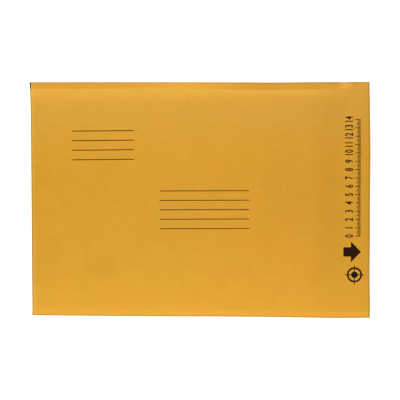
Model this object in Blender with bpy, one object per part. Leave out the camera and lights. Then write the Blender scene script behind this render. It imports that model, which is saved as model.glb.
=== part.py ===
"""Padded kraft mailing envelope, empty and unsealed, lying on its back with its flap open.

One web of paper is folded across the closed end. Its two long edges are heat-sealed together, and the
front sheet runs on past the mouth as the flap. A pouch of bubble film lines the paper. Under the flap is a
strip of adhesive with its release liner.

X runs along the envelope from the fold to the flap, Y across it and Z up. The origin lies on the surface
that the envelope rests on, under the middle of its bounding box.
"""

from collections import namedtuple
from math import asin, copysign, cos, pi, sin, sqrt

import bmesh
import bpy

# Sheets and films
PAPER = 0.0003
FILM = 0.0032
CLEARANCE = 0.0003
CREASE = 0.0002  # what is left between two skins where they come together

# The pocket, seam to seam and fold to mouth, and the loft of its empty middle
INSIDE_WIDTH = 0.2667
INSIDE_LENGTH = 0.381
POCKET_LOFT = 0.005

# The heat-sealed long edges, and the rounded stretches beside them and behind the fold
SEAM_WIDTH = 0.0085
SHOULDER = 0.015
NOSE = 0.010
FRONT_BULGE = 0.0037  # from the top of a seam up to the front face
LINING_SIDE_GAP = 0.001

# The flap, and the slope on which the front sheet comes down from the padding to it
FLAP_LENGTH = 0.028
FLAP_DROP = 0.0026  # from the front face down to the flap
LINING_SETBACK = 0.0045  # from the mouth back to the end of the padding
FLAP_ROOT = 0.0045  # from the mouth on to where the flap is level

# The adhesive under the flap and the liner that covers it
STRIP_WIDTH = 0.015
STRIP_THICKNESS = 0.0003
STRIP_END_MARGIN = 0.008
LINER_OVERLAP = 0.002
LINER_THICKNESS = 0.0003
LINER_END_MARGIN = 0.003
STRIP_EDGE_MARGIN = 0.0045  # from the flap's free edge

# Facets
SHOULDER_STEPS = 6
NOSE_STEPS = 6
LENGTH_STEPS = 4
SLOPE_STEPS = 3
CUT_MARGIN = 0.002  # how far a cutter passes a face
CUT_STEP = 0.0001  # the length over which a cutter widens at the mouth
MERGE = 1e-7

# What follows from them
PADDING = PAPER + CLEARANCE + FILM
HEIGHT = 2 * PADDING + POCKET_LOFT
SEAM_THICKNESS = 2 * PAPER + CREASE
SEAM_HEIGHT = HEIGHT - FRONT_BULGE - SEAM_THICKNESS / 2
FLAP_LIFT = FRONT_BULGE - FLAP_DROP
WIDTH = INSIDE_WIDTH + 2 * SEAM_WIDTH
LENGTH = PAPER + INSIDE_LENGTH + FLAP_LENGTH
FOLD_X = -LENGTH / 2
LEVEL_X = FOLD_X + NOSE
MOUTH_X = FOLD_X + PAPER + INSIDE_LENGTH
PADDING_END_X = MOUTH_X - LINING_SETBACK
FLAP_LEVEL_X = MOUTH_X + FLAP_ROOT
FREE_EDGE_X = LENGTH / 2
LEVEL_Y = INSIDE_WIDTH / 2 - SHOULDER
FLAP_UNDERSIDE = HEIGHT - FLAP_DROP - PAPER
STRIP_X = FREE_EDGE_X - STRIP_EDGE_MARGIN - STRIP_WIDTH / 2

Skin = namedtuple("Skin", "depth edge root_x root_y")


def skin(depth, edge=CREASE, side_gap=0.0):
    """A surface of the padding, a depth under the paper's outer faces. Its upper and lower halves come
    together at the fold and at the seams' roots, the edge's thickness apart."""
    nearing = 2 * max(depth - PAPER, 0.0) / (HEIGHT - SEAM_THICKNESS)
    setback = SHOULDER * asin(nearing) * 2 / pi
    return Skin(depth, edge, FOLD_X + depth, INSIDE_WIDTH / 2 - setback - side_gap)


def clamped(value):
    return min(max(value, 0.0), 1.0)


def loft(surface, x, y):
    """How far the padding has risen at a point, from 0 at the fold or a seam to 1 on the level."""
    inward = clamped((surface.root_y - abs(y)) / (surface.root_y - LEVEL_Y))
    ahead = 1.0 - clamped((x - surface.root_x) / (LEVEL_X - surface.root_x))
    return sin(pi / 2 * inward) * sqrt(1.0 - ahead * ahead)


def slope(x):
    """How far the front sheet has come down to the flap, from 0 on the padding to 1 on the flap."""
    along = clamped((x - PADDING_END_X) / (FLAP_LEVEL_X - PADDING_END_X))
    return along * along * (3.0 - 2.0 * along)


def front(surface, x, y):
    """Height of a skin's upper half above the middle of the seams, which rise towards the flap."""
    lift = FLAP_LIFT * slope(x)
    full = SEAM_THICKNESS / 2 + FRONT_BULGE - surface.depth
    low = surface.edge / 2 + lift
    return low + (full - low) * loft(surface, x, y) * (1.0 - slope(x))


def back(surface, x, y):
    """Height of a skin's lower half above the middle of the seams."""
    lift = FLAP_LIFT * slope(x)
    full = surface.depth - SEAM_HEIGHT
    low = lift - surface.edge / 2
    return low + (full - low) * loft(surface, x, y)


def stations_across(surface):
    """Places across a skin, closer together on its shoulders."""
    step = (surface.root_y - LEVEL_Y) / SHOULDER_STEPS
    side = [LEVEL_Y + step * i for i in range(SHOULDER_STEPS + 1)]
    return [-y for y in reversed(side)] + side


def stations_along(surface):
    """Places along a skin from the fold to the end of the padding, closer together behind the fold."""
    reach = LEVEL_X - surface.root_x
    turns = [pi / 2 * i / NOSE_STEPS for i in range(NOSE_STEPS + 1)]
    step = (PADDING_END_X - LEVEL_X) / LENGTH_STEPS
    return [surface.root_x + reach * (1.0 - cos(turn)) for turn in turns] + [
        LEVEL_X + step * (i + 1) for i in range(LENGTH_STEPS)
    ]


def evenly(start, end, steps):
    return [start + (end - start) * (i + 1) / steps for i in range(steps)]


def slab(name, collection, xs, ys, upper, lower, across=lambda x, y: y):
    """A box over the span of xs and ys, sliced at each of them, its corners moved to two heights given as
    functions of the place. across, where given, first moves each corner sideways."""
    form = bmesh.new()
    bmesh.ops.create_cube(form, size=1.0)
    bmesh.ops.scale(form, vec=(xs[-1] - xs[0], ys[-1] - ys[0], 1.0), verts=form.verts)
    middle = ((xs[-1] + xs[0]) / 2, (ys[-1] + ys[0]) / 2, 0.0)
    bmesh.ops.translate(form, vec=middle, verts=form.verts)
    cuts = [((x, 0, 0), (1, 0, 0)) for x in xs[1:-1]] + [((0, y, 0), (0, 1, 0)) for y in ys[1:-1]]
    for place, normal in cuts:
        everything = form.verts[:] + form.edges[:] + form.faces[:]
        bmesh.ops.bisect_plane(form, geom=everything, dist=MERGE, plane_co=place, plane_no=normal)
    for corner in form.verts:
        corner.co.y = across(corner.co.x, corner.co.y)
        surface = upper if corner.co.z > 0 else lower
        corner.co.z = surface(corner.co.x, corner.co.y)
    bmesh.ops.triangulate(form, faces=form.faces[:])
    bmesh.ops.recalc_face_normals(form, faces=form.faces[:])
    mesh = bpy.data.meshes.new(name)
    form.to_mesh(mesh)
    form.free()
    body = bpy.data.objects.new(name, mesh)
    body.location.z = SEAM_HEIGHT
    collection.objects.link(body)
    return body


def cut(body, cutter):
    """Takes the cutter away from the body, and leaves it as a hidden guide."""
    cutter.hide_render = True
    cutter.display_type = "WIRE"
    modifier = body.modifiers.new(cutter.name, "BOOLEAN")
    modifier.operation = "DIFFERENCE"
    modifier.solver = "EXACT"
    modifier.object = cutter


def linear(channel):
    """One channel of a colour as a screen shows it, made linear."""
    return channel / 12.92 if channel <= 0.04045 else ((channel + 0.055) / 1.055) ** 2.4


def surface_of(name, colour, roughness, transmission=0.0):
    """A plain material. The colour is a hex string as a screen shows it."""
    material = bpy.data.materials.new(name)
    material.use_nodes = True
    shader = material.node_tree.nodes["Principled BSDF"]
    channels = [linear(int(colour[i : i + 2], 16) / 255) for i in (1, 3, 5)]
    shader.inputs["Base Color"].default_value = (*channels, 1.0)
    shader.inputs["Roughness"].default_value = roughness
    shader.inputs["Metallic"].default_value = 0.0
    shader.inputs["Transmission Weight"].default_value = transmission
    return material


def collection_of(name):
    collection = bpy.data.collections.new(name)
    bpy.context.scene.collection.children.link(collection)
    return collection


def kraft_envelope(parts, cutters):
    """The folded and sealed web of paper: back sheet, front sheet, seams and flap in one."""
    outside = skin(0.0, SEAM_THICKNESS)
    inside = skin(PAPER)
    on_flap = evenly(PADDING_END_X, MOUTH_X, SLOPE_STEPS) + evenly(MOUTH_X, FLAP_LEVEL_X, SLOPE_STEPS)
    body = slab(
        "kraft_envelope",
        parts,
        stations_along(outside) + on_flap + [FREE_EDGE_X],
        [-WIDTH / 2, *stations_across(outside), WIDTH / 2],
        lambda x, y: front(outside, x, y),
        lambda x, y: back(outside, x, y),
    )

    def past_mouth(x):
        return x > MOUTH_X + CUT_STEP / 2

    def widened(x, y):
        """Past the mouth, the cutter's outermost corners go out beyond the seams."""
        if past_mouth(x) and abs(y) > inside.root_y + CUT_STEP / 2:
            return copysign(WIDTH / 2 + CUT_MARGIN, y)
        return y

    room = slab(
        "pocket_and_flap_room",
        cutters,
        stations_along(inside) + sorted([*on_flap, MOUTH_X + CUT_STEP]) + [FREE_EDGE_X + CUT_MARGIN],
        [-inside.root_y - CUT_STEP, *stations_across(inside), inside.root_y + CUT_STEP],
        lambda x, y: front(inside, x, y),
        lambda x, y: -SEAM_HEIGHT - CUT_MARGIN if past_mouth(x) else back(inside, x, y),
        widened,
    )
    cut(body, room)
    body.data.materials.append(surface_of("golden kraft paper", "#dea53d", 0.75))
    return body


def bubble_lining(parts, cutters):
    """The pouch of bubble film bonded to the paper's inside, open at the mouth."""
    outside = skin(PAPER + CLEARANCE, side_gap=LINING_SIDE_GAP)
    inside = skin(PADDING)
    body = slab(
        "bubble_lining",
        parts,
        stations_along(outside),
        stations_across(outside),
        lambda x, y: front(outside, x, y),
        lambda x, y: back(outside, x, y),
    )
    pocket = slab(
        "pocket",
        cutters,
        stations_along(inside) + [PADDING_END_X + CUT_MARGIN],
        stations_across(inside),
        lambda x, y: front(inside, min(x, PADDING_END_X), y),
        lambda x, y: back(inside, min(x, PADDING_END_X), y),
    )
    cut(body, pocket)
    body.data.materials.append(surface_of("clear bubble film", "#dfe3e2", 0.25, 0.6))
    return body


def flat_strip(name, collection, width, length, thickness, top, material):
    """A level strip across the flap's underside."""
    bpy.ops.mesh.primitive_cube_add(size=1.0, location=(STRIP_X, 0.0, top - thickness / 2))
    strip = bpy.context.active_object
    strip.name = name
    strip.data.name = name
    strip.scale = (width, length, thickness)
    bpy.ops.object.transform_apply(location=False, rotation=False, scale=True)
    for holder in strip.users_collection:
        holder.objects.unlink(strip)
    collection.objects.link(strip)
    strip.data.materials.append(material)
    return strip


def adhesive_strip(parts):
    """The band of pressure-sensitive adhesive on the flap's underside."""
    return flat_strip(
        "adhesive_strip",
        parts,
        STRIP_WIDTH,
        WIDTH - 2 * STRIP_END_MARGIN,
        STRIP_THICKNESS,
        FLAP_UNDERSIDE - CLEARANCE,
        surface_of("tacky adhesive", "#d9c79a", 0.2),
    )


def release_liner(parts):
    """The siliconised paper that covers the adhesive until the envelope is sealed."""
    return flat_strip(
        "release_liner",
        parts,
        STRIP_WIDTH + 2 * LINER_OVERLAP,
        WIDTH - 2 * LINER_END_MARGIN,
        LINER_THICKNESS,
        FLAP_UNDERSIDE - 2 * CLEARANCE - STRIP_THICKNESS,
        surface_of("white release paper", "#f1efe8", 0.4),
    )


for leftover in list(bpy.data.objects):
    bpy.data.objects.remove(leftover)

envelope_parts = collection_of("padded_envelope")
envelope_cutters = collection_of("cutters")
envelope_cutters.hide_render = True

kraft_envelope(envelope_parts, envelope_cutters)
bubble_lining(envelope_parts, envelope_cutters)
adhesive_strip(envelope_parts)
release_liner(envelope_parts)
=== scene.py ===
from math import cos, exp, hypot, pi, radians, sin, sqrt

import bmesh
import bpy
from mathutils import Matrix, Vector, noise


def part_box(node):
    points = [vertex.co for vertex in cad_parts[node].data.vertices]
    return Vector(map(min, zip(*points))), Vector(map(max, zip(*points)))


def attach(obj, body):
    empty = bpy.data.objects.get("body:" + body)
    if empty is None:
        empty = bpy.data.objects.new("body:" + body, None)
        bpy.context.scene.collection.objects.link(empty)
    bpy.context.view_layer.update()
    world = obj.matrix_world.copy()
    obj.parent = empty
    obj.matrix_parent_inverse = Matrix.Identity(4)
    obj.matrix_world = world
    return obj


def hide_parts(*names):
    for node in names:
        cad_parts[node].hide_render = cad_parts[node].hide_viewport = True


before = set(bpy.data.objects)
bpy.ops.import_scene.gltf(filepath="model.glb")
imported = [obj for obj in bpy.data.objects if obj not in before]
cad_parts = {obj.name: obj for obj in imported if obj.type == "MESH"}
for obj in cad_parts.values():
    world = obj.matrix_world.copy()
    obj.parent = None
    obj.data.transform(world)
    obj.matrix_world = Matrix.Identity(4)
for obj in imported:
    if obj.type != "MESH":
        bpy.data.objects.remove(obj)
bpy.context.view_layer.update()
MM = 0.001


# The paper web
#
# One web of golden kraft paper, folded across the closed end at the left. A hot bar has sealed its two long
# edges flat, and the bubble lining puffs up what lies between them. Past the mouth the front sheet goes on
# alone as the flap.

web_low, web_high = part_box("kraft_envelope")
lining_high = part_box("bubble_lining")[1]
strip_low, strip_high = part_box("adhesive_strip")
FOLD_X = web_low.x
FREE_EDGE_X = web_high.x
EDGE_Y = web_high.y
PADDING_END_X = lining_high.x
MOUTH_X = PADDING_END_X + 4.5 * MM
FLAP_LEVEL_X = MOUTH_X + 4.5 * MM
FACE_Z = web_high.z
PAPER = 0.3 * MM
SEAM_THICKNESS = 0.8 * MM
FLAP_Z = strip_high.z + 0.3 * MM + PAPER
SEAM_Z = FACE_Z - 4.1 * MM
ROOT_Y = EDGE_Y - 8.5 * MM
NOSE = 10 * MM

# The shoulder beside the far seam is steepest at the seam itself. The near one is longer and lower, because
# the near seam lies higher. Towards the flap the padding thins out over 46 mm.
FAR_SHOULDER = 18 * MM
NEAR_SHOULDER = 34 * MM
FAR_SEAM_RISE = 0.8 * MM
NEAR_SEAM_RISE = 1.3 * MM
FLAP_SLOPE = 46 * MM
SHOULDER_ROUNDNESS = 2.2
FOLD_ROUNDNESS = 3.2
LEVEL_X = FOLD_X + NOSE
SLOPE_START_X = FLAP_LEVEL_X - FLAP_SLOPE
FAR_LEVEL_Y = ROOT_Y - FAR_SHOULDER
NEAR_LEVEL_Y = -ROOT_Y + NEAR_SHOULDER


def clamped(value):
    return min(max(value, 0.0), 1.0)


def eased(value):
    value = clamped(value)
    return value * value * (3.0 - 2.0 * value)


def hump(value, middle, reach):
    """A soft bump, 1 at its middle and gone at about twice its reach."""
    return exp(-(((value - middle) / reach) ** 2))


def cloud(x, y, size, seed):
    """Smooth noise from -1 to 1 with features of about the given size."""
    return noise.noise(Vector((x / size, y / size, seed)))


def puff(x, y):
    """How far the padding lifts the paper above the sealed edges, from 0 at a seam to 1 on the level."""
    shoulder = FAR_SHOULDER - 5 * MM * eased(x / (150 * MM) + 0.6) if y > 0 else NEAR_SHOULDER
    aside = 1.0 - clamped((ROOT_Y - abs(y)) / shoulder)
    ahead = 1.0 - clamped((FLAP_LEVEL_X - x) / FLAP_SLOPE)
    lifted = clamped(1.0 - hypot(aside, 0.8 * ahead * ahead))
    return (1.0 - (1.0 - lifted) ** SHOULDER_ROUNDNESS) * blunt(x)


def blunt(x):
    """The fold's outline, from 0 at the fold to 1 where the faces are level: a squared-off round."""
    behind = 1.0 - clamped((x - FOLD_X) / NOSE)
    return (1.0 - behind**FOLD_ROUNDNESS) ** (1 / FOLD_ROUNDNESS)


def level(x):
    """Height of the front between the shoulders, which falls to the flap where the padding thins out."""
    return FLAP_Z + (FACE_Z - FLAP_Z) * eased((FLAP_LEVEL_X - x) / FLAP_SLOPE)


def far_seam_tilt(x):
    """How far the far sealed edge leans outwards, as a slope. It bends up and down along its length."""
    bends = 0.2 * hump(x, -20 * MM, 52 * MM) - 0.1 * hump(x, 66 * MM, 24 * MM)
    by_flap = 0.45 * hump(x, 174 * MM, 7 * MM) - 0.55 * hump(x, 185.5 * MM, 4 * MM)
    return bends + by_flap - 0.19 - 0.06 * eased(x / (100 * MM))


def seam_middle(x, y):
    """Height of the sealed edges' middle plane. They rise towards the flap, and bend a little on the way."""
    past_end = eased((x - PADDING_END_X + 12 * MM) / (FLAP_LEVEL_X - PADDING_END_X + 12 * MM))
    height = SEAM_Z + (FLAP_Z - SEAM_THICKNESS / 2 - SEAM_Z) * past_end
    held = 1.0 - past_end
    outwards = clamped((abs(y) - ROOT_Y) / (EDGE_Y - ROOT_Y))
    if y > 0:
        lean = (0.3 + 0.7 * held) * far_seam_tilt(x) * outwards * (EDGE_Y - ROOT_Y)
        return height + held * FAR_SEAM_RISE * eased((y - FAR_LEVEL_Y) / FAR_SHOULDER) - lean
    rise = NEAR_SEAM_RISE * eased((NEAR_LEVEL_Y - y) / NEAR_SHOULDER)
    return height + held * (rise + 0.9 * outwards * MM)


def ripples(x, y):
    """The paper's own unevenness: slow waves, and puckers that run in from the sealed edges."""
    from_seam = max(ROOT_Y - abs(y), 0.0)
    pucker = cloud(x, y * 0.2, 17 * MM, 3.1) * exp(-from_seam / (16 * MM)) * puff(x, y)
    wave = 0.14 * cloud(x, y, 75 * MM, 7.7) + 0.05 * cloud(x, y, 24 * MM, 1.3)
    return (wave + 0.12 * pucker) * MM


# Marks of handling, in millimetres: two creases by their start, end, width and height, and a soft dent
CREASES = (((121, -93), (155, -110), 2.2, 0.22), ((166, 109), (177, 129), 4.5, 0.5))
DENT_X, DENT_Y, DENT_DEPTH = -117 * MM, -87 * MM, 0.35 * MM


def crease(x, y, start, end, width, depth):
    """A short handling crease from start to end: a raised line that fades to both sides and at its ends."""
    start, end = Vector(start) * MM, Vector(end) * MM
    along = (end - start).normalized()
    offset = Vector((x, y)) - start
    share = clamped(offset.dot(along) / (end - start).length)
    beside = abs(offset.cross(along))
    return depth * MM * sin(pi * share) * exp(-((beside / (width * MM)) ** 2))


def front_height(x, y):
    """Height of the front's outer face."""
    flat = seam_middle(x, y) + SEAM_THICKNESS / 2
    height = flat + (level(x) - flat) * puff(x, y)
    height += sum(crease(x, y, *mark) for mark in CREASES)
    height -= DENT_DEPTH * hump(x, DENT_X, 22 * MM) * hump(y, DENT_Y, 14 * MM)
    return height + ripples(x, y)


def back_height(x, y):
    """Height of the back's outer face, which the table holds flat."""
    flat = seam_middle(x, y) - SEAM_THICKNESS / 2
    inward = clamped((ROOT_Y - abs(y)) / (15 * MM))
    return flat * (1.0 - sin(pi / 2 * inward) * blunt(x))


# How far the ends lean for each metre across, and how far the fold's far corner sticks out
OUT_OF_SQUARE = 0.0076
CORNER_FLARE = 1.27 * MM


def cut_out_of_square(piece):
    """The web was cut a little out of square, its fold flares at the far corner, its long edges bow in, and
    the far seam is narrower on the left. Everything that lies in or on the web follows it."""
    for corner in piece.data.vertices:
        x, y = corner.co.x, corner.co.y
        by_fold = hump(x, FOLD_X, 20 * MM)
        by_edge = hump(x, FREE_EDGE_X, 20 * MM)
        far_bow = 0.42 * hump(x, 82 * MM, 42 * MM) - 0.15 * hump(x, -23 * MM, 40 * MM)
        far_bow += 0.155 - 0.33 * eased((x - 130 * MM) / (75 * MM))
        near_bow = 0.6 * hump(x, 55 * MM, 75 * MM) + 0.45 * hump(x, FREE_EDGE_X, 20 * MM)
        corner.co.x -= OUT_OF_SQUARE * y
        corner.co.x += (0.15 * MM - CORNER_FLARE * exp((y - EDGE_Y) / (20 * MM))) * by_fold
        corner.co.x += 0.16 * MM * exp((-EDGE_Y - y) / (50 * MM)) * by_fold
        wave = 0.62 * hump(y, 58 * MM, 42 * MM) - 0.42 * hump(y, -85 * MM, 26 * MM)
        wave += 0.22 - 0.25 * eased((y - 105 * MM) / (35 * MM))
        corner.co.x += wave * MM * by_edge
        corner.co.y -= (far_bow if y > 0 else near_bow) * MM * y / EDGE_Y
        corner.co.y += 0.8 * MM * hump(x, -75 * MM, 70 * MM) * hump(y, ROOT_Y, 5 * MM)


def start_editing(piece):
    bpy.ops.object.select_all(action="DESELECT")
    bpy.context.view_layer.objects.active = piece
    piece.select_set(True)
    bpy.ops.object.mode_set(mode="EDIT")
    bpy.ops.mesh.select_all(action="DESELECT")


def pick(piece, kind, wanted):
    """In edit mode, selects the faces or edges that pass a test of their middle and of themselves."""
    bpy.ops.mesh.select_mode(type="FACE" if kind == "faces" else "EDGE")
    bpy.ops.mesh.select_all(action="DESELECT")
    form = bmesh.from_edit_mesh(piece.data)
    for part in getattr(form, kind):
        middle = sum((corner.co for corner in part.verts), Vector()) / len(part.verts)
        part.select_set(wanted(middle, part))
    bmesh.update_edit_mesh(piece.data)


def slice_at(axis, places):
    """In edit mode, cuts the whole mesh across an axis at each place."""
    for place in places:
        bpy.ops.mesh.select_all(action="SELECT")
        spot = [place if i == axis else 0.0 for i in range(3)]
        normal = [1.0 if i == axis else 0.0 for i in range(3)]
        bpy.ops.mesh.bisect(plane_co=spot, plane_no=normal)


def divide(piece, axis, start, end, cuts):
    """In edit mode, divides the edges that run along an axis between two places."""

    def runs_there(middle, edge):
        step = edge.verts[1].co - edge.verts[0].co
        return abs(step[axis]) > 0.9 * step.length and start < middle[axis] < end

    pick(piece, "edges", runs_there)
    bpy.ops.mesh.subdivide(number_cuts=cuts)


def finish_editing():
    bpy.ops.object.mode_set(mode="OBJECT")


def thicken(piece, thickness, offset):
    """Gives an open sheet its thickness, inwards (-1) or outwards (1) from the faces that it has."""
    wall = piece.modifiers.new("wall", "SOLIDIFY")
    wall.thickness = thickness
    wall.offset = offset
    bpy.ops.object.modifier_apply(modifier=wall.name)


def box_at(name, low, high):
    """A cube primitive at its size and place, with its place in its mesh."""
    bpy.ops.object.select_all(action="DESELECT")
    bpy.ops.mesh.primitive_cube_add(size=1.0, location=(Vector(low) + Vector(high)) / 2)
    piece = bpy.context.active_object
    piece.name = piece.data.name = name
    piece.scale = Vector(high) - Vector(low)
    bpy.ops.object.transform_apply(location=True, rotation=True, scale=True)
    return piece


web = box_at(
    "paper_web",
    (FOLD_X, -EDGE_Y, SEAM_Z - SEAM_THICKNESS / 2),
    (MOUTH_X, EDGE_Y, SEAM_Z + SEAM_THICKNESS / 2),
)
start_editing(web)
pick(web, "faces", lambda middle, face: middle.x > MOUTH_X - 0.1 * MM)
bpy.ops.mesh.delete(type="ONLY_FACE")

# The front's edge at the mouth is drawn out as the flap
pick(web, "edges", lambda middle, edge: middle.x > MOUTH_X - 0.1 * MM and middle.z > SEAM_Z + 0.1 * MM)
bpy.ops.mesh.extrude_region_move(TRANSFORM_OT_translate={"value": (FREE_EDGE_X - MOUTH_X, 0.0, 0.0)})
slice_at(0, [LEVEL_X, SLOPE_START_X, PADDING_END_X, FLAP_LEVEL_X])
slice_at(1, [-ROOT_Y, NEAR_LEVEL_Y, FAR_LEVEL_Y, ROOT_Y])
divide(web, 0, FOLD_X, LEVEL_X, 8)
divide(web, 0, LEVEL_X, SLOPE_START_X, 76)
divide(web, 0, SLOPE_START_X, PADDING_END_X, 12)
divide(web, 0, PADDING_END_X, MOUTH_X, 2)
divide(web, 0, MOUTH_X, FLAP_LEVEL_X, 2)
divide(web, 0, FLAP_LEVEL_X, FREE_EDGE_X, 9)
divide(web, 1, -EDGE_Y, -ROOT_Y, 2)
divide(web, 1, -ROOT_Y, NEAR_LEVEL_Y, 14)
divide(web, 1, NEAR_LEVEL_Y, FAR_LEVEL_Y, 44)
divide(web, 1, FAR_LEVEL_Y, ROOT_Y, 16)
divide(web, 1, ROOT_Y, EDGE_Y, 2)
slice_at(1, [side * (ROOT_Y + offset * MM) for side in (-1, 1) for offset in (-0.7, 0.7)])
finish_editing()

# Each point keeps its place on the flat web, which the paper's patterns follow, before it is lifted
flat_places = web.data.attributes.new("flat_place", "FLOAT_VECTOR", "POINT")
for corner in web.data.vertices:
    if corner.co.x < LEVEL_X:
        corner.co.x = FOLD_X + NOSE * (1.0 - cos(pi / 2 * (corner.co.x - FOLD_X) / NOSE))
    flat_places.data[corner.index].vector = corner.co
    height_of = front_height if corner.co.z > SEAM_Z else back_height
    corner.co.z = height_of(corner.co.x, corner.co.y)
thicken(web, PAPER, -1.0)
cut_out_of_square(web)
bpy.ops.object.shade_smooth_by_angle(angle=radians(40))


def linear_colour(code):
    """An sRGB hex colour as the linear values that a shader takes."""
    channels = [int(code[i : i + 2], 16) / 255 for i in (1, 3, 5)]
    return (*[c / 12.92 if c <= 0.04045 else ((c + 0.055) / 1.055) ** 2.4 for c in channels], 1.0)


def new_material(name):
    """A new material, its node tree and its Principled shader."""
    material = bpy.data.materials.new(name)
    material.use_nodes = True
    tree = material.node_tree
    return material, tree, tree.nodes["Principled BSDF"]


def add(tree, kind, inputs=None, output=0, **settings):
    """Adds a node, sets it and its inputs, each a value or another node's socket, and gives its output."""
    made = tree.nodes.new(kind)
    for name, value in settings.items():
        setattr(made, name, value)
    for name, value in (inputs or {}).items():
        if isinstance(value, bpy.types.NodeSocket):
            tree.links.new(value, made.inputs[name])
        else:
            made.inputs[name].default_value = value
    return made.outputs[output]


def fibres(tree, place, turn, length, width):
    """Noise drawn out to the length and width of fibres that lie at one angle, in degrees."""
    laid = add(
        tree,
        "ShaderNodeMapping",
        {"Vector": place, "Scale": (length, width, width), "Rotation": (0.0, 0.0, radians(turn))},
        vector_type="TEXTURE",
    )
    return add(tree, "ShaderNodeTexNoise", {"Vector": laid, "Scale": 1.0, "Detail": 2.0})


BUBBLE_PITCH = 10.5 * MM
RIB_PITCH = 1.6 * MM


def kraft_paper():
    """Golden kraft: long unbleached fibres laid mostly along the web, dyed warm yellow and calendered. It is
    matt and nearly even, with short streaks, a few darker fibres and a faint darker patch. Painted shade
    darkens its cut edges, its fold and the fold's far corner, and painted light lies beside the fold, on the
    sealed edges and over the far side."""
    material, tree, shader = new_material("golden kraft paper")
    place = add(tree, "ShaderNodeTexCoord", output="Object")
    flat = add(tree, "ShaderNodeAttribute", output="Vector", attribute_name="flat_place")
    flat_x = add(tree, "ShaderNodeSeparateXYZ", {"Vector": flat}, output="X")
    flat_y = flat_x.node.outputs["Y"]

    # Cloudiness of the sheet, about 20 mm and smaller, in a yellower and in a redder tone
    slow = add(tree, "ShaderNodeTexNoise", {"Vector": place, "Scale": 50.0, "Detail": 5.0, "Roughness": 0.65})
    cloudy = add(tree, "ShaderNodeMapRange", {"Value": slow, "From Min": 0.3, "From Max": 0.7})
    tones = []
    for thin, thick in (("#d0992a", "#d59e2e"), ("#d6962a", "#db9b2e")):
        between = {"Factor": cloudy, 6: linear_colour(thin), 7: linear_colour(thick)}
        tones.append(add(tree, "ShaderNodeMix", between, output=2, data_type="RGBA"))

    # The dye has taken unevenly, in patches of about 40 mm, and is redder towards the flap
    uneven = add(tree, "ShaderNodeTexNoise", {"Vector": flat, "Scale": 25.0, "Detail": 2.0})
    uneven = add(
        tree,
        "ShaderNodeMapRange",
        {"Value": uneven, "From Min": 0.3, "From Max": 0.7, "To Min": -0.3, "To Max": 0.3},
    )
    redder = add(
        tree,
        "ShaderNodeMapRange",
        {"Value": flat_x, "From Min": -50 * MM, "From Max": 110 * MM, "To Min": 0.38, "To Max": 0.8},
    )
    redder = add(tree, "ShaderNodeMath", {0: redder, 1: uneven}, operation="ADD", use_clamp=True)
    colour = add(
        tree, "ShaderNodeMix", {"Factor": redder, 6: tones[0], 7: tones[1]}, output=2, data_type="RGBA"
    )

    # Painted sheen: the far side is tinted a little paler and greyer, for the far lamp's gloss on it
    far_side_sheen = add(
        tree,
        "ShaderNodeMapRange",
        {"Value": flat_y, "From Min": 58 * MM, "From Max": 100 * MM, "To Min": 0.0, "To Max": 0.42},
    )
    layers = [(far_side_sheen, "#ce9c40")]

    # Fibre streaks, 5 mm long and 0.4 mm wide, along the web
    streak = fibres(tree, place, 0, 5.0 * MM, 0.4 * MM)
    streak = add(tree, "ShaderNodeMapRange", {"Value": streak, "From Min": 0.3, "From Max": 0.7})
    share = add(tree, "ShaderNodeMath", {0: streak, 1: 0.15}, operation="MULTIPLY")
    layers.append((share, "#bd8120"))

    # Shorter fibres cross them both ways: pale ones on top, and dark gaps between them
    rising = fibres(tree, place, 38, 2.4 * MM, 0.16 * MM)
    falling = fibres(tree, place, -47, 2.4 * MM, 0.16 * MM)
    raised = add(tree, "ShaderNodeMath", {0: rising, 1: falling}, operation="MAXIMUM")
    sunken = add(tree, "ShaderNodeMath", {0: rising, 1: falling}, operation="MINIMUM")
    raised = add(
        tree,
        "ShaderNodeMapRange",
        {"Value": raised, "From Min": 0.56, "From Max": 0.74, "To Min": 0.0, "To Max": 0.32},
    )
    sunken = add(
        tree,
        "ShaderNodeMapRange",
        {"Value": sunken, "From Min": 0.44, "From Max": 0.26, "To Min": 0.0, "To Max": 0.32},
    )
    layers.append((raised, "#e6b74c"))
    layers.append((sunken, "#a9711a"))

    # Single darker fibres, about 1.3 mm long, a few in each square centimetre
    turned = add(
        tree,
        "ShaderNodeMapping",
        {"Vector": place, "Scale": (4.0 * MM, 1.2 * MM, 1.2 * MM), "Rotation": (0.0, 0.0, radians(24))},
        vector_type="TEXTURE",
    )
    near = add(tree, "ShaderNodeTexVoronoi", {"Vector": turned, "Scale": 1.0}, output="Distance")
    chosen = add(tree, "ShaderNodeSeparateColor", {"Color": near.node.outputs["Color"]}, output="Red")
    near = add(tree, "ShaderNodeMath", {0: near, 1: 0.16}, operation="LESS_THAN")
    chosen = add(tree, "ShaderNodeMath", {0: chosen, 1: 0.86}, operation="GREATER_THAN")
    fleck = add(tree, "ShaderNodeMath", {0: near, 1: chosen}, operation="MULTIPLY")
    share = add(tree, "ShaderNodeMath", {0: fleck, 1: 0.4}, operation="MULTIPLY")
    layers.append((share, "#8a5a18"))

    # The sealing bar has pressed and heated both long edges, which leaves them a little redder. They are also
    # painted a little lighter, as painted light for the light that the sealed edges catch.
    from_middle = add(tree, "ShaderNodeMath", {0: flat_y}, operation="ABSOLUTE")
    on_seam = add(
        tree,
        "ShaderNodeMapRange",
        {"Value": from_middle, "From Min": ROOT_Y - 0.4 * MM, "From Max": ROOT_Y + 0.8 * MM},
    )
    share = add(tree, "ShaderNodeMath", {0: on_seam, 1: 0.3}, operation="MULTIPLY")
    layers.append((share, "#eda83f"))
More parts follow.
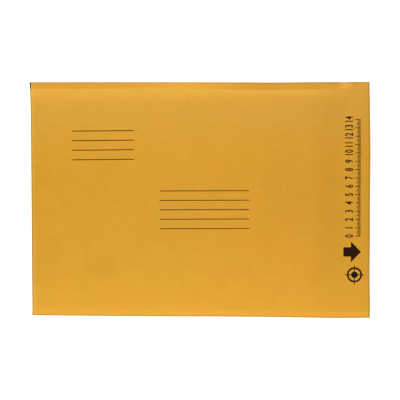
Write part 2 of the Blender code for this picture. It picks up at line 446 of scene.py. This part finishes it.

    # A faint darker patch, about 50 mm across, on the front's near left quarter
    dark_patch = add(
        tree,
        "ShaderNodeVectorMath",
        {0: flat, 1: (-119 * MM, -84 * MM, 0.0)},
        operation="SUBTRACT",
    )
    dark_patch = add(tree, "ShaderNodeVectorMath", {0: dark_patch, 1: (1.0, 1.3, 0.0)}, operation="MULTIPLY")
    dark_patch = add(tree, "ShaderNodeVectorMath", {0: dark_patch}, output="Value", operation="LENGTH")
    dark_patch = add(
        tree,
        "ShaderNodeMapRange",
        {"Value": dark_patch, "From Min": 2 * MM, "From Max": 28 * MM, "To Min": 0.13, "To Max": 0.0},
        interpolation_type="SMOOTHSTEP",
    )
    layers.append((dark_patch, "#9a6f22"))

    # Painted highlight: the paper beside the fold is painted a little paler, for the light that the fold's
    # curve catches from the left
    to_fold = add(tree, "ShaderNodeMath", {0: flat_x, 1: FOLD_X}, operation="SUBTRACT")
    fold_highlight = add(
        tree,
        "ShaderNodeMapRange",
        {"Value": to_fold, "From Min": 2.5 * MM, "From Max": 6.5 * MM, "To Min": 0.3, "To Max": 0.0},
    )
    layers.append((fold_highlight, "#efb650"))

    # Painted shade: the cut edges and the fold are darkened for 1 to 3 mm, where the paper turns away from
    # the light at its rim
    to_side = add(tree, "ShaderNodeMath", {0: EDGE_Y, 1: from_middle}, operation="SUBTRACT")
    to_free_edge = add(tree, "ShaderNodeMath", {0: FREE_EDGE_X, 1: flat_x}, operation="SUBTRACT")
    edge_shade = 0.0
    edges = ((to_side, 2.1 * MM, 0.5), (to_free_edge, 3.2 * MM, 0.68), (to_fold, 2.1 * MM, 0.85))
    for distance, gone, most in edges:
        reach = {"Value": distance, "From Min": 1.3 * MM, "From Max": gone, "To Min": most, "To Max": 0.0}
        here = add(tree, "ShaderNodeMapRange", reach)
        edge_shade = add(tree, "ShaderNodeMath", {0: edge_shade, 1: here}, operation="MAXIMUM")
    layers.append((edge_shade, "#a5803a"))

    # Painted shade: a small dark spot at the far corner of the fold, for the shadowed inside of the fold
    # where its corner flares
    corner_shade = add(
        tree,
        "ShaderNodeVectorMath",
        {0: flat, 1: (FOLD_X, EDGE_Y - 2 * MM, 0.0)},
        operation="SUBTRACT",
    )
    corner_shade = add(tree, "ShaderNodeVectorMath", {0: corner_shade, 1: (1.0, 0.3, 0.0)}, operation="MULTIPLY")
    corner_shade = add(tree, "ShaderNodeVectorMath", {0: corner_shade}, output="Value", operation="LENGTH")
    corner_shade = add(
        tree,
        "ShaderNodeMapRange",
        {"Value": corner_shade, "From Min": 1.1 * MM, "From Max": 2.3 * MM, "To Min": 0.95, "To Max": 0.0},
    )
    layers.append((corner_shade, "#2b2815"))

    # Each layer tints what lies under it
    for share, tint in layers:
        tinted = {"Factor": share, 6: colour, 7: linear_colour(tint)}
        colour = add(tree, "ShaderNodeMix", tinted, output=2, data_type="RGBA")
    tree.links.new(colour, shader.inputs["Base Color"])

    # Calendered paper is matt, and a little smoother where the sheet is thin
    rough = add(
        tree,
        "ShaderNodeMapRange",
        {"Value": slow, "From Min": 0.3, "From Max": 0.7, "To Min": 0.6, "To Max": 0.72},
    )
    tree.links.new(rough, shader.inputs["Roughness"])
    shader.inputs["Specular IOR Level"].default_value = 0.12

    # The bubbles press through the sheet in staggered rows, between the seams and the mouth
    half = (BUBBLE_PITCH / 2, BUBBLE_PITCH * sqrt(3) / 2, 1.0)
    minus_half = tuple(-value for value in half)
    rows = []
    for shift in ((0.0, 0.0, 0.0), half):
        moved = add(tree, "ShaderNodeVectorMath", {0: flat, 1: shift}, operation="ADD")
        cell = add(tree, "ShaderNodeVectorMath", {0: moved, 1: half, 2: minus_half}, operation="WRAP")
        cell = add(tree, "ShaderNodeVectorMath", {0: cell, 1: (1.0, 1.0, 0.0)}, operation="MULTIPLY")
        rows.append(add(tree, "ShaderNodeVectorMath", {0: cell}, output="Value", operation="LENGTH"))
    reach = add(tree, "ShaderNodeMath", {0: rows[0], 1: rows[1]}, operation="MINIMUM")
    dome = add(
        tree,
        "ShaderNodeMapRange",
        {"Value": reach, "From Min": 3.0 * MM, "From Max": 5.2 * MM, "To Min": 1.0, "To Max": 0.0},
        interpolation_type="SMOOTHSTEP",
    )
    on_panel = add(
        tree,
        "ShaderNodeMapRange",
        {
            "Value": from_middle,
            "From Min": ROOT_Y - 14 * MM,
            "From Max": ROOT_Y - 4 * MM,
            "To Min": 1.0,
            "To Max": 0.0,
        },
    )
    before_mouth = add(
        tree,
        "ShaderNodeMapRange",
        {
            "Value": flat_x,
            "From Min": PADDING_END_X - 30 * MM,
            "From Max": PADDING_END_X,
            "To Min": 1.0,
            "To Max": 0.0,
        },
    )
    dome = add(tree, "ShaderNodeMath", {0: dome, 1: on_panel}, operation="MULTIPLY")
    dome = add(tree, "ShaderNodeMath", {0: dome, 1: before_mouth}, operation="MULTIPLY")

    # The sealing bar also leaves fine ribs across both long edges
    ribs = add(tree, "ShaderNodeMath", {0: flat_x, 1: 2 * pi / RIB_PITCH}, operation="MULTIPLY")
    ribs = add(tree, "ShaderNodeMath", {0: ribs}, operation="SINE")
    ribs = add(tree, "ShaderNodeMath", {0: ribs, 1: on_seam}, operation="MULTIPLY")

    bumps = add(tree, "ShaderNodeBump", {"Height": dome, "Strength": 0.6, "Distance": 0.12 * MM})
    bumps = add(
        tree, "ShaderNodeBump", {"Height": ribs, "Strength": 0.4, "Distance": 0.03 * MM, "Normal": bumps}
    )
    bumps = add(
        tree, "ShaderNodeBump", {"Height": streak, "Strength": 0.35, "Distance": 0.02 * MM, "Normal": bumps}
    )
    bumps = add(
        tree, "ShaderNodeBump", {"Height": raised, "Strength": 0.5, "Distance": 0.04 * MM, "Normal": bumps}
    )
    tree.links.new(bumps, shader.inputs["Normal"])
    return material


web.data.materials.append(kraft_paper())
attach(web, "root")
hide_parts("kraft_envelope")


# The bubble lining
#
# Clear polyethylene film with air bubbles, heat-bonded to the inside of the paper. The bubbles stand against
# the paper and the flat film faces the pocket. It ends just short of the mouth.

FILM_DEPTH = 3.8 * MM
BUBBLE_RADIUS = 4.6 * MM
BUBBLE_BORDER = 7 * MM
MOUTH_BORDER = 6 * MM
FILM = 0.2 * MM

# Heights in a bubble, as shares of its depth: the rim of its head, and its head, just short of the paper
HEAD_RIM = 0.72
BUBBLE_FILL = 0.96
film_root_y = lining_high.y - 4.6 * MM
film_fold_x = FOLD_X + FILM_DEPTH


def between_skins(x, y, share, upper):
    """Height between the paper's inside, share 0, and the flat film, share 1."""
    inward = clamped((film_root_y - abs(y)) / (film_root_y - FAR_LEVEL_Y))
    behind = 1.0 - clamped((x - film_fold_x) / (LEVEL_X - film_fold_x))
    loft = sin(pi / 2 * inward) * sqrt(1.0 - behind * behind)
    middle = SEAM_Z
    if upper:
        film = middle + 0.1 * MM + (FACE_Z - FILM_DEPTH - middle) * loft
        skin = min(front_height(x, y), FACE_Z) - PAPER - 0.35 * MM
    else:
        film = middle - 0.1 * MM - (middle - FILM_DEPTH) * loft
        skin = back_height(x, y) + PAPER + 0.3 * MM
    return skin + (film - skin) * share


pouch = box_at(
    "bubble_film_pouch",
    (film_fold_x, -film_root_y, SEAM_Z - 0.1 * MM),
    (PADDING_END_X - 0.2 * MM, film_root_y, SEAM_Z + 0.1 * MM),
)
start_editing(pouch)
pick(pouch, "faces", lambda middle, face: middle.x > PADDING_END_X - 0.3 * MM)
bpy.ops.mesh.delete(type="ONLY_FACE")
slice_at(0, [LEVEL_X])
slice_at(1, [-FAR_LEVEL_Y, FAR_LEVEL_Y])
divide(pouch, 0, film_fold_x, LEVEL_X, 5)
divide(pouch, 0, LEVEL_X, PADDING_END_X, 35)
divide(pouch, 1, -film_root_y, -FAR_LEVEL_Y, 5)
divide(pouch, 1, -FAR_LEVEL_Y, FAR_LEVEL_Y, 20)
divide(pouch, 1, FAR_LEVEL_Y, film_root_y, 5)
finish_editing()
for corner in pouch.data.vertices:
    corner.co.z = between_skins(corner.co.x, corner.co.y, 1.0, corner.co.z > SEAM_Z)
thicken(pouch, FILM, 1.0)


def bubble_field(name, upper):
    """One wall's bubbles: a low drum with a rounded head, repeated in staggered rows and then pressed to
    the height that the pocket's wall has at each place."""
    row_step = BUBBLE_PITCH * sqrt(3)
    start_x = film_fold_x + BUBBLE_BORDER
    start_y = -film_root_y + BUBBLE_BORDER
    columns = int((PADDING_END_X - start_x - MOUTH_BORDER) / BUBBLE_PITCH) + 1
    pairs = int((film_root_y - BUBBLE_BORDER - start_y - BUBBLE_PITCH) / row_step) + 1
    bpy.ops.object.select_all(action="DESELECT")
    bpy.ops.mesh.primitive_cylinder_add(
        vertices=10, radius=BUBBLE_RADIUS, depth=1.0, location=(start_x, start_y, 0.5)
    )
    field = bpy.context.active_object
    field.name = field.data.name = name
    bpy.ops.object.transform_apply(location=True, rotation=True, scale=True)
    start_editing(field)
    pick(field, "faces", lambda middle, face: middle.z > 0.9)
    bpy.ops.mesh.inset(thickness=0.28 * BUBBLE_RADIUS)
    finish_editing()
    for corner in field.data.vertices:
        from_axis = hypot(corner.co.x - start_x, corner.co.y - start_y)
        if corner.co.z > 0.9 and from_axis > 0.9 * BUBBLE_RADIUS:
            corner.co.z = HEAD_RIM
    for count, step in (
        (columns, (BUBBLE_PITCH, 0.0, 0.0)),
        (2, (BUBBLE_PITCH / 2, row_step / 2, 0.0)),
        (pairs, (0.0, row_step, 0.0)),
    ):
        repeat = field.modifiers.new("repeat", "ARRAY")
        repeat.count = count
        repeat.use_relative_offset = False
        repeat.use_constant_offset = True
        repeat.constant_offset_displace = step
        bpy.ops.object.modifier_apply(modifier=repeat.name)
    for corner in field.data.vertices:
        share = 1.0 - BUBBLE_FILL * corner.co.z
        corner.co.z = between_skins(corner.co.x, corner.co.y, share, upper)
    start_editing(field)
    bpy.ops.mesh.select_all(action="SELECT")
    bpy.ops.mesh.normals_make_consistent(inside=False)
    finish_editing()
    return field


front_bubbles = bubble_field("front_bubbles", True)
back_bubbles = bubble_field("back_bubbles", False)
bpy.ops.object.select_all(action="DESELECT")
for piece in (front_bubbles, back_bubbles, pouch):
    piece.select_set(True)
bpy.context.view_layer.objects.active = pouch
bpy.ops.object.join()
cut_out_of_square(pouch)
bpy.ops.object.shade_smooth_by_angle(angle=radians(50))


def polyethylene_film():
    """Blown low-density polyethylene: clear, faintly milky where it is doubled, with a soft gloss and fine
    drawing lines along the web."""
    material, tree, shader = new_material("clear polyethylene film")
    place = add(tree, "ShaderNodeTexCoord", output="Object")
    milky = add(tree, "ShaderNodeTexNoise", {"Vector": place, "Scale": 90.0, "Detail": 2.0})
    colour = add(
        tree,
        "ShaderNodeMix",
        {"Factor": milky, 6: linear_colour("#e4e9ea"), 7: linear_colour("#f4f6f5")},
        output=2,
        data_type="RGBA",
    )
    tree.links.new(colour, shader.inputs["Base Color"])
    rough = add(tree, "ShaderNodeMapRange", {"Value": milky, "To Min": 0.12, "To Max": 0.3})
    tree.links.new(rough, shader.inputs["Roughness"])
    drawn = add(tree, "ShaderNodeMapping", {"Vector": place, "Scale": (60.0, 900.0, 900.0)})
    lines = add(tree, "ShaderNodeTexNoise", {"Vector": drawn, "Scale": 1.0, "Detail": 2.0})
    bumps = add(tree, "ShaderNodeBump", {"Height": lines, "Strength": 0.4, "Distance": 0.05 * MM})
    tree.links.new(bumps, shader.inputs["Normal"])
    shader.inputs["Transmission Weight"].default_value = 0.65
    shader.inputs["IOR"].default_value = 1.51
    return material


pouch.data.materials.append(polyethylene_film())
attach(pouch, "root")
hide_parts("bubble_lining")


# The adhesive and its release liner
#
# A band of hot-melt pressure-sensitive adhesive is coated on the flap's underside. A strip of siliconised
# paper lies on it and overhangs it a little, so that a finger can pull it off.

liner_low, liner_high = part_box("release_liner")
band = box_at("adhesive_band", strip_low, strip_high)
start_editing(band)
divide(band, 1, strip_low.y, strip_high.y, 180)
divide(band, 0, strip_low.x, strip_high.x, 7)
finish_editing()
band_middle = (strip_low.x + strip_high.x) / 2
for corner in band.data.vertices:
    x, y = corner.co.x, corner.co.y
    across = (x - band_middle) / (strip_high.x - band_middle)
    if abs(across) > 0.99:
        corner.co.x += 0.35 * MM * cloud(y, across, 9 * MM, 5.0)
    if corner.co.z < (strip_low.z + strip_high.z) / 2:
        corner.co.z += 0.2 * MM * abs(across) ** 6 + 0.05 * MM * cloud(x, y, 5 * MM, 2.0)
cut_out_of_square(band)
bpy.ops.object.shade_smooth_by_angle(angle=radians(50))


def hot_melt():
    """Hot-melt pressure-sensitive adhesive: pale amber, tacky and wet-looking, with coating lines along the
    band."""
    material, tree, shader = new_material("hot-melt adhesive")
    place = add(tree, "ShaderNodeTexCoord", output="Object")
    drawn = add(tree, "ShaderNodeMapping", {"Vector": place, "Scale": (1400.0, 90.0, 90.0)})
    lines = add(tree, "ShaderNodeTexNoise", {"Vector": drawn, "Scale": 1.0, "Detail": 3.0})
    colour = add(
        tree,
        "ShaderNodeMix",
        {"Factor": lines, 6: linear_colour("#cdb27a"), 7: linear_colour("#e3cf9f")},
        output=2,
        data_type="RGBA",
    )
    tree.links.new(colour, shader.inputs["Base Color"])
    rough = add(tree, "ShaderNodeMapRange", {"Value": lines, "To Min": 0.08, "To Max": 0.3})
    tree.links.new(rough, shader.inputs["Roughness"])
    bumps = add(tree, "ShaderNodeBump", {"Height": lines, "Strength": 0.6, "Distance": 0.08 * MM})
    tree.links.new(bumps, shader.inputs["Normal"])
    shader.inputs["IOR"].default_value = 1.48
    return material


band.data.materials.append(hot_melt())
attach(band, "root")
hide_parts("adhesive_strip")

liner = box_at("release_paper", liner_low, liner_high)
start_editing(liner)
divide(liner, 1, liner_low.y, liner_high.y, 120)
divide(liner, 0, liner_low.x, liner_high.x, 6)
finish_editing()
LOOSE_END = 16 * MM
LOOSE_DROP = 2.2 * MM
for corner in liner.data.vertices:
    x, y = corner.co.x, corner.co.y
    loose = clamped((liner_low.y + LOOSE_END - y) / LOOSE_END)
    corner.co.z -= LOOSE_DROP * loose * loose
    corner.co.z += 0.08 * MM * cloud(x, y, 22 * MM, 4.0) - 0.1 * MM
cut_out_of_square(liner)
bpy.ops.object.shade_smooth_by_angle(angle=radians(50))


def release_paper():
    """Glassine with a silicone coat: white, smooth and satin, faintly cloudy against the light."""
    material, tree, shader = new_material("silicone-coated glassine")
    place = add(tree, "ShaderNodeTexCoord", output="Object")
    clouds = add(tree, "ShaderNodeTexNoise", {"Vector": place, "Scale": 260.0, "Detail": 4.0})
    colour = add(
        tree,
        "ShaderNodeMix",
        {"Factor": clouds, 6: linear_colour("#e6e4dc"), 7: linear_colour("#f6f4ee")},
        output=2,
        data_type="RGBA",
    )
    tree.links.new(colour, shader.inputs["Base Color"])
    rough = add(tree, "ShaderNodeMapRange", {"Value": clouds, "To Min": 0.28, "To Max": 0.42})
    tree.links.new(rough, shader.inputs["Roughness"])
    bumps = add(tree, "ShaderNodeBump", {"Height": clouds, "Strength": 0.2, "Distance": 0.02 * MM})
    tree.links.new(bumps, shader.inputs["Normal"])
    return material


liner.data.materials.append(release_paper())
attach(liner, "root")
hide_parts("release_liner")


# The printing
#
# Ruled lines for the sender's and the receiver's addresses, and a plain scale with marks along the flap. All
# of it is one pass of black flexographic ink that sits on the paper as a film.

INK = 0.03 * MM
INK_ROOT = 0.05 * MM


def printing_ink(name, full, thin):
    """Water-based flexographic ink: nearly black and matt, thinner where the paper's fibres stand up. The
    golden paper shows through a thin film of it as brown."""
    material, tree, shader = new_material(name)
    place = add(tree, "ShaderNodeTexCoord", output="Object")
    grain = add(tree, "ShaderNodeTexNoise", {"Vector": place, "Scale": 1600.0, "Detail": 3.0})
    grain = add(tree, "ShaderNodeMapRange", {"Value": grain, "From Min": 0.42, "From Max": 0.75})
    colour = add(
        tree,
        "ShaderNodeMix",
        {"Factor": grain, 6: linear_colour(full), 7: linear_colour(thin)},
        output=2,
        data_type="RGBA",
    )
    tree.links.new(colour, shader.inputs["Base Color"])
    rough = add(tree, "ShaderNodeMapRange", {"Value": grain, "To Min": 0.6, "To Max": 0.75})
    tree.links.new(rough, shader.inputs["Roughness"])
    shader.inputs["Specular IOR Level"].default_value = 0.06
    bumps = add(tree, "ShaderNodeBump", {"Height": grain, "Strength": 0.3, "Distance": 0.01 * MM})
    tree.links.new(bumps, shader.inputs["Normal"])
    return material


solid_ink = printing_ink("black flexographic ink", "#140602", "#38200a")
line_ink = printing_ink("black flexographic ink in fine lines", "#431404", "#6b3410")


def joined(name, pieces):
    bpy.ops.object.select_all(action="DESELECT")
    for piece in pieces:
        piece.select_set(True)
    bpy.context.view_layer.objects.active = pieces[0]
    if len(pieces) > 1:
        bpy.ops.object.join()
    print_mark = bpy.context.view_layer.objects.active
    print_mark.name = print_mark.data.name = name
    return print_mark


def press(mark, ink, step):
    """Presses flat marks on to the paper: cuts them finely enough to follow it, then lays them on it."""
    start_editing(mark)
    corners = [corner.co for corner in mark.data.vertices]
    for axis in (0, 1):
        low = min(co[axis] for co in corners)
        high = max(co[axis] for co in corners)
        gap = step[axis]
        slice_at(axis, [low + gap * (i + 1) for i in range(int((high - low) / gap - 1e-6))])
    bpy.ops.mesh.select_all(action="SELECT")
    bpy.ops.mesh.dissolve_degenerate(threshold=0.005 * MM)
    finish_editing()
    for corner in mark.data.vertices:
        corner.co.z += front_height(corner.co.x, corner.co.y)
    cut_out_of_square(mark)
    mark.data.materials.clear()
    mark.data.materials.append(ink)
    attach(mark, "root")


def ruled_lines(name, middle, length, pitch, count, weight, tilt):
    """A block of lines about its middle, printed slightly askew on the web."""
    lines = []
    for i in range(count):
        y = pitch * ((count - 1) / 2 - i)
        line = box_at(name, (-length / 2, y - weight / 2, -INK_ROOT), (length / 2, y + weight / 2, INK))

        # The ink has spread a little, so the ends are round
        start_editing(line)
        pick(line, "edges", lambda middle, edge: abs(edge.verts[0].co.z - edge.verts[1].co.z) > INK)
        bpy.ops.mesh.bevel(offset=weight * 0.3, segments=2)
        finish_editing()
        lines.append(line)
    block = joined(name, lines)
    block.data.transform(Matrix.Translation((*middle, 0.0)) @ Matrix.Rotation(tilt, 4, "Z"))
    press(block, line_ink, (4 * MM, 50 * MM))


ruled_lines(
    "sender_lines",
    middle=(-116.4 * MM, 65.52 * MM),
    length=75 * MM,
    pitch=11.57 * MM,
    count=4,
    weight=1.03 * MM,
    tilt=0.012,
)
ruled_lines(
    "receiver_lines",
    middle=(6.1 * MM, -11.97 * MM),
    length=108 * MM,
    pitch=11.4 * MM,
    count=5,
    weight=0.95 * MM,
    tilt=0.0074,
)

# The scale runs up the flap and is read from the right. Its digits stand in one row and its graduations in
# the row beside them.
SCALE_START_Y = -43.0 * MM
SCALE_CENTIMETRES = 14
DIGIT_HEIGHT = 9.2 * MM
DIGIT_SQUEEZE = 0.62
CAPITAL_SHARE = 0.72
DIGIT_FOOT_X = 184.2 * MM
TICK_FOOT_X = 193.4 * MM

# Length and width of a graduation, by the millimetres that it marks
TICKS = {10: (6.4 * MM, 0.8 * MM), 5: (5.0 * MM, 0.6 * MM), 1: (3.6 * MM, 0.45 * MM)}


def graduations():
    marks = []
    for millimetre in range(SCALE_CENTIMETRES * 10 + 1):
        length, weight = next(TICKS[unit] for unit in TICKS if millimetre % unit == 0)
        y = SCALE_START_Y + millimetre * MM
        low = (TICK_FOOT_X - length, y - weight / 2, -INK_ROOT)
        marks.append(box_at("scale_tick", low, (TICK_FOOT_X, y + weight / 2, INK)))
    return joined("scale_graduations", marks)


def digits():
    marks = []
    for centimetre in range(SCALE_CENTIMETRES + 1):
        bpy.ops.object.select_all(action="DESELECT")
        bpy.ops.object.text_add()
        number = bpy.context.active_object
        number.data.body = str(centimetre)
        number.data.align_x = "CENTER"
        number.data.size = DIGIT_HEIGHT / CAPITAL_SHARE
        number.data.offset = 0.3 * MM
        number.data.space_character = 1.06
        number.data.extrude = (INK + INK_ROOT) / 2
        number.data.resolution_u = 4
        bpy.ops.object.convert(target="MESH")
        number = bpy.context.active_object
        squeeze = Matrix.Diagonal((DIGIT_SQUEEZE, 1.0, 1.0, 1.0))
        upright = Matrix.Rotation(radians(90), 4, "Z")
        spot = Vector((DIGIT_FOOT_X, SCALE_START_Y + centimetre * 10 * MM, (INK - INK_ROOT) / 2))
        number.data.transform(Matrix.Translation(spot) @ upright @ squeeze)
        start_editing(number)
        bpy.ops.mesh.select_all(action="SELECT")
        bpy.ops.mesh.remove_doubles(threshold=0.001 * MM)
        bpy.ops.mesh.normals_make_consistent(inside=False)
        finish_editing()
        marks.append(number)
    return joined("scale_digits", marks)


press(graduations(), solid_ink, (1.5 * MM, 20 * MM))
press(digits(), solid_ink, (0.75 * MM, 5 * MM))


def flat_outline(name, points):
    """A flat mark from its outline: a filled curve with the ink's thickness."""
    outline = bpy.data.curves.new(name, "CURVE")
    outline.dimensions = "2D"
    outline.fill_mode = "BOTH"
    outline.extrude = (INK + INK_ROOT) / 2
    for loop in points:
        line = outline.splines.new("POLY")
        line.points.add(len(loop) - 1)
        for spot, (x, y) in zip(line.points, loop):
            spot.co = (x, y, 0.0, 1.0)
        line.use_cyclic_u = True
    mark = bpy.data.objects.new(name, outline)
    bpy.context.scene.collection.objects.link(mark)
    bpy.ops.object.select_all(action="DESELECT")
    bpy.context.view_layer.objects.active = mark
    mark.select_set(True)
    bpy.ops.object.convert(target="MESH")
    mark = bpy.context.active_object
    mark.data.transform(Matrix.Translation((0.0, 0.0, (INK - INK_ROOT) / 2)))
    start_editing(mark)
    bpy.ops.mesh.select_all(action="SELECT")
    bpy.ops.mesh.remove_doubles(threshold=0.001 * MM)
    bpy.ops.mesh.normals_make_consistent(inside=False)
    finish_editing()
    return mark


def ring(x, y, radius, steps=40):
    turns = [2 * pi * i / steps for i in range(steps)]
    return [(x + radius * cos(turn), y + radius * sin(turn)) for turn in turns]


# A plain arrow points to the flap's free edge, and a printer's register mark stands below it
ARROW_Y = -62.0 * MM
ARROW_START_X, ARROW_NECK_X, ARROW_TIP_X = 173.0 * MM, 182.0 * MM, 194.0 * MM
SHAFT = 5.6 * MM
HEAD = 12.5 * MM
arrow = [
    (ARROW_START_X, ARROW_Y + SHAFT),
    (ARROW_START_X, ARROW_Y - SHAFT),
    (ARROW_NECK_X, ARROW_Y - SHAFT),
    (ARROW_NECK_X, ARROW_Y - HEAD),
    (ARROW_TIP_X, ARROW_Y),
    (ARROW_NECK_X, ARROW_Y + HEAD),
    (ARROW_NECK_X, ARROW_Y + SHAFT),
]
press(flat_outline("opening_arrow", [arrow]), solid_ink, (0.8 * MM, 5 * MM))

REGISTER = (186.3 * MM, -89.6 * MM)

# Outer and inner radius of the ring, and of the full dot in it
REGISTER_RINGS = ((9.2 * MM, 7.0 * MM), (4.0 * MM, 0.0))
HAIR_LENGTH = 11.5 * MM
HAIR_WIDTH = 1.0 * MM


def register_mark():
    parts = []
    for outer, inner in REGISTER_RINGS:
        loops = [ring(*REGISTER, radius) for radius in (outer, inner) if radius > 0]
        parts.append(flat_outline("register_ring", loops))
    for reach_x, reach_y in ((HAIR_LENGTH, HAIR_WIDTH / 2), (HAIR_WIDTH / 2, HAIR_LENGTH)):
        low = (REGISTER[0] - reach_x, REGISTER[1] - reach_y, -INK_ROOT)
        high = (REGISTER[0] + reach_x, REGISTER[1] + reach_y, INK)
        parts.append(box_at("register_hair", low, high))
    mark = parts.pop()
    for part in parts:
        fused = mark.modifiers.new("fused", "BOOLEAN")
        fused.operation = "UNION"
        fused.object = part
        bpy.ops.object.modifier_apply(modifier=fused.name)
        bpy.data.objects.remove(part)
    return joined("register_mark", [mark])


press(register_mark(), solid_ink, (0.9 * MM, 4 * MM))


# The table, the lamps and the camera
#
# The envelope lies on a white table between two low soft lamps, one beyond its far edge and one before its
# near edge. A third stands further off beyond the far edge, and its light grazes the front. The camera looks
# almost straight down.

# A hair below the paper, so that the two faces don't fall in one plane
TABLE_Z = -0.04 * MM

bpy.ops.object.select_all(action="DESELECT")
bpy.ops.mesh.primitive_plane_add(size=8.0, location=(0.0, 0.0, TABLE_Z))
table = bpy.context.active_object
table.name = table.data.name = "table"


def seen_white(tree):
    """1 for what the camera sees straight, in a gloss or through a film, and 0 for light on the object."""
    camera_ray = add(tree, "ShaderNodeLightPath", output="Is Camera Ray")
    rays = camera_ray.node.outputs
    seen = add(tree, "ShaderNodeMath", {0: camera_ray, 1: rays["Is Glossy Ray"]}, operation="MAXIMUM")
    return add(tree, "ShaderNodeMath", {0: seen, 1: rays["Is Transmission Ray"]}, operation="MAXIMUM")


def white_table():
    """A white laminate top. To the camera its lit parts are plain white, and it keeps the shadows."""
    material, tree, shader = new_material("white laminate")
    shader.inputs["Base Color"].default_value = linear_colour("#e6e6e6")
    shader.inputs["Roughness"].default_value = 0.9
    shader.inputs["Specular IOR Level"].default_value = 0.1
    glow = add(tree, "ShaderNodeMath", {0: seen_white(tree), 1: 0.75}, operation="MULTIPLY")
    shader.inputs["Emission Color"].default_value = (1.0, 1.0, 1.0, 1.0)
    tree.links.new(glow, shader.inputs["Emission Strength"])
    return material


table.data.materials.append(white_table())


def soft_lamp(name, place, size, watts):
    light = bpy.data.lights.new(name, "AREA")
    light.shape = "RECTANGLE"
    light.size, light.size_y = size
    light.energy = watts
    lamp = bpy.data.objects.new(name, light)
    bpy.context.scene.collection.objects.link(lamp)
    lamp.location = place
    lamp.rotation_euler = (Vector((0.0, 0.0, 0.0)) - Vector(place)).to_track_quat("-Z", "Y").to_euler()
    lamp.visible_camera = False


soft_lamp("far_lamp", place=(-0.013, 0.40, 0.237), size=(0.9, 0.2), watts=2.00)
soft_lamp("near_lamp", place=(-0.013, -0.40, 0.237), size=(0.9, 0.2), watts=2.56)
soft_lamp("grazing_lamp", place=(-0.6, 1.2, 0.40), size=(1.0, 0.4), watts=9.0)

world = bpy.data.worlds.new("white studio")
bpy.context.scene.world = world
world.use_nodes = True
sky = world.node_tree.nodes["Background"]
sky.inputs["Color"].default_value = (1.0, 1.0, 1.0, 1.0)
seen = seen_white(world.node_tree)
strength = add(world.node_tree, "ShaderNodeMapRange", {"Value": seen, "To Min": 0.25, "To Max": 1.0})
world.node_tree.links.new(strength, sky.inputs["Strength"])

LENS = 85.0
view = bpy.data.cameras.new("view_from_above")
view.lens = LENS
view.sensor_width = 36.0
view.clip_start = 0.05
camera = bpy.data.objects.new("view_from_above", view)
bpy.context.scene.collection.objects.link(camera)
camera.location = (0.0427, 0.0230, 1.15)
camera.rotation_euler = (-0.0203, 0.0369, 0.0037)
bpy.context.scene.camera = camera

bpy.context.scene.view_settings.view_transform = "Standard"
